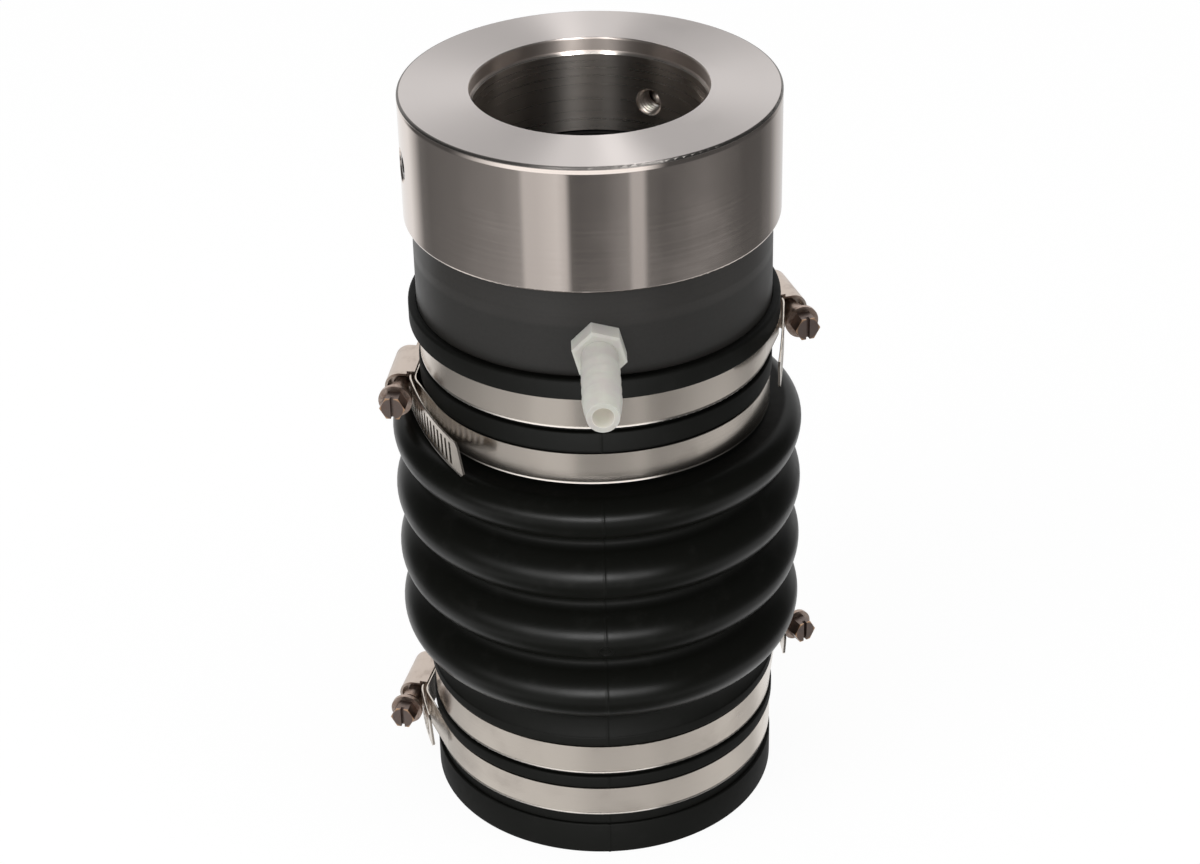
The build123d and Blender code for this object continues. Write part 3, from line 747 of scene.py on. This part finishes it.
# the head is sooty inside an amber edge, and the flange behind it is lighter
def tarnishedScrew(sizes, name):
    joint = next(joint for joint in frame["joints"] if joint["name"] == f"{name}_turn")
    axis, start = Vector(joint["axis"]), Vector(joint["pos_m"])
    material, tree = newMaterial(f"tarnished_{name}", sizes["fixed"])
    settings = {"operation": "DOT_PRODUCT"}
    along = tree.node("ShaderNodeVectorMath", settings, {0: tree.place, 1: axis}, output="Value")
    onAxis = tree.node("ShaderNodeVectorMath", {"operation": "SCALE"}, {0: axis, "Scale": along})
    fromAxis = tree.node(
        "ShaderNodeVectorMath", {"operation": "SUBTRACT"}, {0: tree.place, 1: onAxis}
    )
    reach = tree.distance(fromAxis, start - axis * axis.dot(start))
    tip = max(axis.dot(vertex.co) for vertex in nodes[name].data.vertices)
    head = tree.riseBelow(along, tip, sizes["head"])
    edge = tree.rise(reach, *sizes["headEdge"]) * tree.riseBelow(along, tip, sizes["headFace"])
    blotch = tree.noise(tree.place, *sizes["blotchNoise"])
    grime = tree.noise(tree.place, *sizes["grimeNoise"])
    base = tree.mixColours(tree.rise(blotch, *sizes["bronzed"]), sizes["tarnish"], sizes["bronze"])
    sooty = tree.rise(tree.mix(sizes["blotchInGrime"], grime, blotch), *sizes["sooted"])
    headSooty = sizes["headSoot"] + (blotch - 0.5) * sizes["headBlotches"]
    sooty = tree.mix(head, sooty * sizes["sootShare"], headSooty)
    base = tree.mixColours(sooty, base, sizes["soot"])
    base = tree.mixColours(edge * sizes["amberShare"], base, sizes["amber"])
    roughness = sizes["roughness"] + (blotch - 0.5) * sizes["blotchRoughness"]
    normal = tree.bump(tree.mix(sizes["blotchInBump"], grime, blotch), sizes["grimeDepth"])
    tree.feed(tree.shader, {"Base Color": base, "Roughness": roughness, "Normal": normal})
    return material


# three small finishes that differ only in their numbers
speckledFinishes = {
    "socketSteel": {
        "fixed": {"Metallic": 1.0},
        "speckNoise": (500.0, 4.0, 0.6),
        "first": colour(0.30, 0.28, 0.27),
        "second": colour(0.5, 0.47, 0.45),
        "roughness": 0.22,
        "speckRoughness": 0.2,
        "speckDepth": 0.00003,
    },
    "cutThread": {
        "fixed": {"Metallic": 1.0},
        "speckNoise": (900.0, 3.0, 0.6),
        "first": colour(0.82, 0.76, 0.71),
        "second": colour(0.66, 0.60, 0.55),
        "roughness": 0.28,
        "speckRoughness": 0.12,
        "speckDepth": 0.00001,
    },
    "sealRubber": {
        "fixed": {"Specular IOR Level": 0.7},
        "speckNoise": (1800.0, 3.0, 0.5),
        "first": colour(0.008, 0.008, 0.008),
        "second": colour(0.016, 0.016, 0.016),
        "roughness": 0.32,
        "speckRoughness": 0.12,
        "speckDepth": 0.000008,
    },
}


def speckled(name):
    sizes = speckledFinishes[name]
    material, tree = newMaterial(name, sizes["fixed"])
    speck = tree.noise(tree.place, *sizes["speckNoise"])
    base = tree.mixColours(speck, sizes["first"], sizes["second"])
    roughness = sizes["roughness"] + speck * sizes["speckRoughness"]
    normal = tree.bump(speck, sizes["speckDepth"])
    tree.feed(tree.shader, {"Base Color": base, "Roughness": roughness, "Normal": normal})
    return material


rubber = mouldedRubber(rubberFinish)
paint("rotor", turnedSteel(rotorFinish))
paint("stator", turnedCarbon(carbonFinish))
paint("hose_barb", mouldedNylon(nylonFinish))
nodes["hose_barb"].visible_glossy = False  # the photograph's steel shows no image of the fitting
pressed = pressedSteel(housingFinish)
clampNumbers = (1, 2, 3, 4)
for number in clampNumbers:
    bandName, screwName = f"clamp_{number}_band", f"clamp_{number}_screw"
    paint(bandName, brushedStrip(stripFinish, bandName))
    paint(f"clamp_{number}_housing", pressed)
    paint(screwName, tarnishedScrew(screwFinish, screwName))
socketSteel, sealRubber = speckled("socketSteel"), speckled("sealRubber")
for name in nodes:
    if name.startswith("set_screw"):
        paint(name, socketSteel)
    if name.startswith("rotor_oring"):
        paint(name, sealRubber)
print("CAD pieces painted")


def smoothShade(mesh, sharpAngle):
    work = bmesh.new()
    work.from_mesh(mesh)
    for face in work.faces:
        face.smooth = True
    for edge in work.edges:
        edge.smooth = len(edge.link_faces) != 2 or edge.calc_face_angle() < radians(sharpAngle)
    work.to_mesh(mesh)
    work.free()


# Bellows: cuffs drawn as outlines, and convolutions that follow their rule in the tree. All of it
# is turned round the axis, and the outside has a fine mould seam at the front and at the back.
bellowsSizes = {
    "tubeRadius": 0.05715,
    "cuffRadius": 0.0626,
    "skirtRadius": 0.0637,
    "skirtTop": 0.013,
    "seat": 0.0071,
    "ridgeProud": 0.0015,
    "collarRadius": 0.0644,
    "collarHeight": 0.0036,
    "neckRadius": 0.064,
    "neckHeight": 0.0077,
    "neckFillet": 0.004,
    "topCurve": 0.0072,
    "sleeveRadius": 0.05525,
    "upperRadius": 0.061,
    "lipRadius": 0.06525,
    "lipBore": 0.06235,
    "lipSeat": 0.0036,
    "stopRise": 0.003,
    "shoulderBare": 0.00105,
    "softCorner": 0.0006,
    "lipCorner": 0.0014,
    "shoulderCorner": 0.0004,
    "shoulderRun": 0.003,
    "neckRun": 0.001,
    "footStart": 0.002,
    "mouthBreak": 0.0008,
    "arcSteps": 12,
    "filletSteps": 5,
    "sharpAngle": 50,
}
convolutionSizes = {
    "crestRadius": 0.0733,
    "pitch": 0.025,
    "convolutions": 4,
    "valleyCurve": 0.002,
    "wall": 0.004,
    "rowsPerPitch": 30,
    "columns": 232,
    "seamAzimuth": radians(271.0),
    "seamHeight": 0.00026,
    "seamWidth": 0.0004,
    "seamCrowding": 0.44,
    "seamFade": 0.002,
    "weld": 0.00001,
}


def arc(centre, radius, start, sweep, steps):
    turns = [radians(start + sweep * step / steps) for step in range(steps + 1)]
    return [(centre[0] + radius * cos(turn), centre[1] + radius * sin(turn)) for turn in turns]


# corners are (radius, height, size of its rounding), and a rounding is a short curve
def softened(corners):
    points = [corners[0][:2]]
    for before, corner, after in zip(corners, corners[1:], corners[2:]):
        here = Vector(corner[:2])
        if not corner[2]:
            points.append(tuple(here))
            continue
        back = (Vector(before[:2]) - here).normalized() * corner[2]
        on = (Vector(after[:2]) - here).normalized() * corner[2]
        for share in (0.0, 0.2, 0.5, 0.8, 1.0):
            points.append(tuple(here + back * (1 - share) ** 2 + on * share**2))
    points.append(corners[-1][:2])
    return points


# the neck's fillet and the under side of the lowest convolution, up to its crest
def underCrest(sizes, rule, lowest, inset):
    curve = rule["pitch"] / 2
    centre = rule["crestRadius"] - curve
    neckCentre = sizes["neckRadius"] + sizes["neckFillet"]
    neckAngle = degrees(acos((neckCentre - centre) / (curve + sizes["neckFillet"])))
    drop = (curve + sizes["neckFillet"]) * sin(radians(neckAngle))
    fillet = sizes["neckFillet"] + inset
    neck = arc((neckCentre, lowest - drop), fillet, 180, -neckAngle, sizes["filletSteps"])
    crest = arc((centre, lowest), curve - inset, -neckAngle, neckAngle, sizes["arcSteps"])
    return neck + crest[1:]


def bellowsOutlines(sizes, rule):
    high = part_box("bellows")[1].z
    bands = {number: middleHeight(f"clamp_{number}_band") for number in clampNumbers}
    bandLow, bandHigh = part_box("clamp_1_band")
    seat, soft, wall = sizes["seat"], sizes["softCorner"], rule["wall"]
    collarLow = bands[3] + seat
    collarTop = collarLow + sizes["collarHeight"]
    neckTop = collarTop + sizes["neckHeight"]
    shoulder = bands[2] - (bandHigh.z - bandLow.z) / 2 - sizes["shoulderBare"]
    top = shoulder - sizes["topCurve"]
    lowest = top - (rule["convolutions"] - 1) * rule["pitch"]
    cuff, ridge = sizes["cuffRadius"], sizes["cuffRadius"] + sizes["ridgeProud"]
    upper, upperRidge = sizes["upperRadius"], sizes["upperRadius"] + sizes["ridgeProud"]
    collar, neck, skirt = sizes["collarRadius"], sizes["neckRadius"], sizes["skirtRadius"]
    tube, sleeve = sizes["tubeRadius"], sizes["sleeveRadius"]
    lip, lipBase, lipSeat = sizes["lipRadius"], bands[1] + seat, high - sizes["lipSeat"]
    foot, mouthBreak = tube + sizes["footStart"], sizes["mouthBreak"]
    topCentre, steps = (rule["crestRadius"] - sizes["topCurve"], top), sizes["arcSteps"]
    lowerSkin = softened(
        [
            (foot, 0, 0),
            (skirt, 0, soft),
            (skirt, sizes["skirtTop"], soft),
            (cuff, sizes["skirtTop"], 0),
            (cuff, bands[4] + seat, 0),
            (ridge, bands[4] + seat, soft),
            (ridge, bands[3] - seat, soft),
            (cuff, bands[3] - seat, 0),
            (cuff, collarLow, 0),
            (collar, collarLow, soft),
            (collar, collarTop, soft / 2),
            (neck, collarTop + soft, 0),
            (neck, neckTop - sizes["neckRun"], 0),
        ]
    ) + underCrest(sizes, rule, lowest, 0)
    upperSkin = arc(topCentre, sizes["topCurve"], 0, 90, steps) + softened(
        [
            (upper + sizes["shoulderRun"], shoulder, 0),
            (upper, shoulder, sizes["shoulderCorner"]),
            (upper, bands[2] + seat, 0),
            (upperRidge, bands[2] + seat, soft),
            (upperRidge, bands[1] - seat, soft),
            (upper, bands[1] - seat, 0),
            (upper, lipBase, 0),
            (lip, lipBase, soft),
            (lip, high, sizes["lipCorner"]),
            (sizes["lipBore"], high, soft / 2),
            (sizes["lipBore"], lipSeat, 0),
            (sleeve, lipSeat, 0),
        ]
    )
    upperBore = [(sleeve, lipSeat), (sleeve, shoulder - wall)]
    upperBore += reversed(arc(topCentre, sizes["topCurve"] - wall, 0, 90, steps))
    lowerBore = underCrest(sizes, rule, lowest, wall)[::-1] + [
        (neck - wall, collarTop + sizes["stopRise"]),
        (tube, collarTop),
        (tube, mouthBreak),
        (tube + mouthBreak, 0),
        (foot, 0),
    ]
    heights = {"lowestCrest": lowest, "neckTop": neckTop, "shoulder": shoulder}
    return (lowerSkin, upperSkin, upperBore, lowerBore), heights


# one row of points up the convolutions: arcs as wide as the pitch, joined by small ones
def convolutionLine(tree, inset):
    pitch, low = tree.size("pitch"), tree.size("lowestCrest")
    spans = tree.size("convolutions") - 1
    ends = {"Start": tree.vector(0.0, 0.0, low), "End": tree.vector(0.0, 0.0, low + spans * pitch)}
    line = tree.node("GeometryNodeCurvePrimitiveLine", sockets=ends)
    rows = {"Curve": line, "Count": spans * tree.size("rowsPerPitch") + 1}
    line = tree.node("GeometryNodeResampleCurve", sockets=rows)
    half = pitch / 2
    curve, valley = half - inset, tree.size("valleyCurve") + inset
    reach = half + tree.size("valleyCurve")
    centre = tree.size("crestRadius") - half
    valleyCentre = centre + tree.maths("SQRT", reach * reach - half * half)
    meet = curve * half / reach
    height = tree.split(tree.node("GeometryNodeInputPosition"))[2]
    step = (height - low) / pitch
    away = tree.maths("ABSOLUTE", step - tree.maths("ROUND", step)) * pitch
    onCrest = tree.maths("MINIMUM", away, meet)
    offValley = half - tree.maths("MAXIMUM", away, meet)
    crest = centre + tree.maths("SQRT", curve * curve - onCrest * onCrest)
    dip = valleyCentre - tree.maths("SQRT", valley * valley - offValley * offValley)
    crested = tree.maths("LESS_THAN", away, meet)
    return tree.move(line, tree.vector(crest * crested + dip * (1 - crested), 0.0, height))


# turns a row of points round the axis, with its columns closer together at the seams
def turned(tree, row):
    count = tree.node(
        "GeometryNodeAttributeDomainSize", {"component": "CURVE"}, {"Geometry": row}
    )
    columns = tree.size("columns")
    sheet = tree.node(
        "GeometryNodeMeshGrid", sockets={"Vertices X": columns + 1, "Vertices Y": count}
    )
    index = tree.node("GeometryNodeInputIndex")
    point = tree.node(
        "GeometryNodeSampleIndex",
        {"data_type": "FLOAT_VECTOR"},
        {
            "Geometry": row,
            "Value": tree.node("GeometryNodeInputPosition"),
            "Index": tree.maths("MODULO", index, count),
        },
    )
    radius, height = tree.split(point)[::2]
    turn = tree.maths("FLOOR", (index + 0.5) / count) * tau / columns
    bunch = tree.maths("SINE", (turn - tree.size("seamAzimuth")) * 2) * tree.size("seamCrowding")
    turn = turn - bunch
    place = tree.vector(
        radius * tree.maths("COSINE", turn), radius * tree.maths("SINE", turn), height
    )
    return tree.move(sheet, place)


# a fine raised seam on the outside of a skin, at both ends of one diameter
def seamed(tree, skin):
    x, y = tree.split(tree.node("GeometryNodeInputPosition"))[:2]
    radius = tree.maths("SQRT", x * x + y * y)
    turn = tree.maths("ARCTAN2", y, x) - tree.size("seamAzimuth")
    away = tree.maths("WRAP", turn, pi / 2, -pi / 2) * radius / tree.size("seamWidth")
    full = tree.size("outside")
    outside = tree.rise(radius, full - tree.size("seamFade"), full)
    height = tree.maths("EXPONENT", 0 - away * away) * tree.size("seamHeight") * outside
    return tree.move(skin, offset=tree.vector(x / radius * height, y / radius * height, 0.0))


def bellowsTree(sizes):
    tree = GeometryTree("bellows", sizes)
    number = tree.node("GeometryNodeInputIndex")
    rows = []
    for spline in range(4):
        chosen = {"Geometry": tree.given, "Selection": tree.maths("COMPARE", number, spline, 0.5)}
        rows.append(tree.node("GeometryNodeSeparateGeometry", {"domain": "CURVE"}, chosen))
    lowerSkin, upperSkin, upperBore, lowerBore = rows
    inner = tree.node(
        "GeometryNodeReverseCurve", sockets={"Curve": convolutionLine(tree, tree.size("wall"))}
    )
    skin = [turned(tree, row) for row in (lowerSkin, convolutionLine(tree, 0.0), upperSkin)]
    bore = [turned(tree, row) for row in (upperBore, inner, lowerBore)]
    whole = {
        "Geometry": tree.join(seamed(tree, tree.join(*skin)), *bore),
        "Distance": tree.size("weld"),
    }
    tree.end(tree.node("GeometryNodeMergeByDistance", sockets=whole))
    return tree


def makeBellows(sizes, rule):
    outlines, heights = bellowsOutlines(sizes, rule)
    outline = bpy.data.curves.new("bellowsOutline", "CURVE")
    outline.dimensions = "3D"
    for points in outlines:
        spline = outline.splines.new("POLY")
        spline.points.add(len(points) - 1)
        for point, (radius, height) in zip(spline.points, points):
            point.co = (radius, 0, height, 1)
    rule = rule | {"lowestCrest": heights["lowestCrest"], "outside": sizes["upperRadius"]}
    mesh = bellowsTree(rule).grow(outline, rule, rubber)
    smoothShade(mesh, sizes["sharpAngle"])
    bellows = bpy.data.objects.new("bellows_moulding", mesh)
    scene.collection.objects.link(bellows)
    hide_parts("bellows")
    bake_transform(bellows)
    print("bellows,", len(mesh.polygons), "faces")
    return bellows


bellows = makeBellows(bellowsSizes, convolutionSizes)


# Threads of the two set-screw holes, a triangular coil from the bore to the drive screw
threadSizes = {
    "firstAzimuth": radians(59.0),
    "secondAzimuth": radians(191.0),
    "height": 0.255946,
    "start": 0.0405,
    "length": 0.0075,
    "pitch": 0.0015,
    "coilRadius": 0.005,
    "threadSize": 0.00086,
    "threadSides": 3,
    "pointsPerTurn": 40,
    "holes": 2,
}


def threadTree(sizes):
    tree = GeometryTree("holeThreads", sizes)
    turns = {
        "Resolution": tree.size("pointsPerTurn"),
        "Rotations": tree.size("length") / tree.size("pitch"),
        "Start Radius": tree.size("coilRadius"),
        "End Radius": tree.size("coilRadius"),
        "Height": tree.size("length"),
    }
    coil = tree.node("GeometryNodeCurveSpiral", sockets=turns)
    coil = tree.node("GeometryNodeSetCurveNormal", {"mode": "Z_UP"}, {"Curve": coil})
    section = tree.node(
        "GeometryNodeCurvePrimitiveCircle",
        sockets={"Resolution": tree.size("threadSides"), "Radius": tree.size("threadSize")},
    )
    thread = tree.node(
        "GeometryNodeCurveToMesh",
        sockets={"Curve": coil, "Profile Curve": section, "Fill Caps": True},
    )
    holes = tree.node("GeometryNodePoints", sockets={"Count": tree.size("holes")})
    index = tree.node("GeometryNodeInputIndex")
    first, second = tree.size("firstAzimuth"), tree.size("secondAzimuth")
    azimuth = first + index * (second - first)
    x, y = (tree.size("start") * tree.maths(side, azimuth) for side in ("COSINE", "SINE"))
    holes = tree.move(holes, tree.vector(x, y, tree.size("height")))
    tree.end(
        tree.node(
            "GeometryNodeInstanceOnPoints",
            sockets={
                "Points": holes,
                "Instance": thread,
                "Rotation": tree.vector(0.0, pi / 2, azimuth),
            },
        )
    )
    return tree


def makeThreads(sizes):
    start = bpy.data.meshes.new("threadStart")
    mesh = threadTree(sizes).grow(start, sizes, speckled("cutThread"))
    threads = bpy.data.objects.new("hole_threads", mesh)
    scene.collection.objects.link(threads)
    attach(threads, "turning_ring")
    print("hole threads,", len(mesh.polygons), "faces")
    return threads


threads = makeThreads(threadSizes)


# Lamps that belong to one piece: two narrow ones and a wide one that reach into the rotor's bore,
# and a low row in front for the soft light along each convolution
def addPieceLamps(sizes):
    inBore = [piece for name, piece in nodes.items() if name == "rotor" or "_drive" in name]
    for number, lamp in enumerate(sizes["boreLamps"], 1):
        addLamp(f"boreLamp{number}", *lamp, sizes["lampAim"], shinesOn=inBore + [threads])
    away, height = sizes["lowLampDistance"], sizes["lowLampHeight"]
    for number, (azimuth, power) in enumerate(sizes["lowLamps"], 1):
        place = (away * sin(radians(azimuth)), -away * cos(radians(azimuth)), height)
        lamp = (place, sizes["lowLampSize"], power, sizes["lowLampAim"])
        addLamp(f"lowLamp{number}", *lamp, shinesOn=[bellows])


addPieceLamps(studio)
print("piece lamps placed")
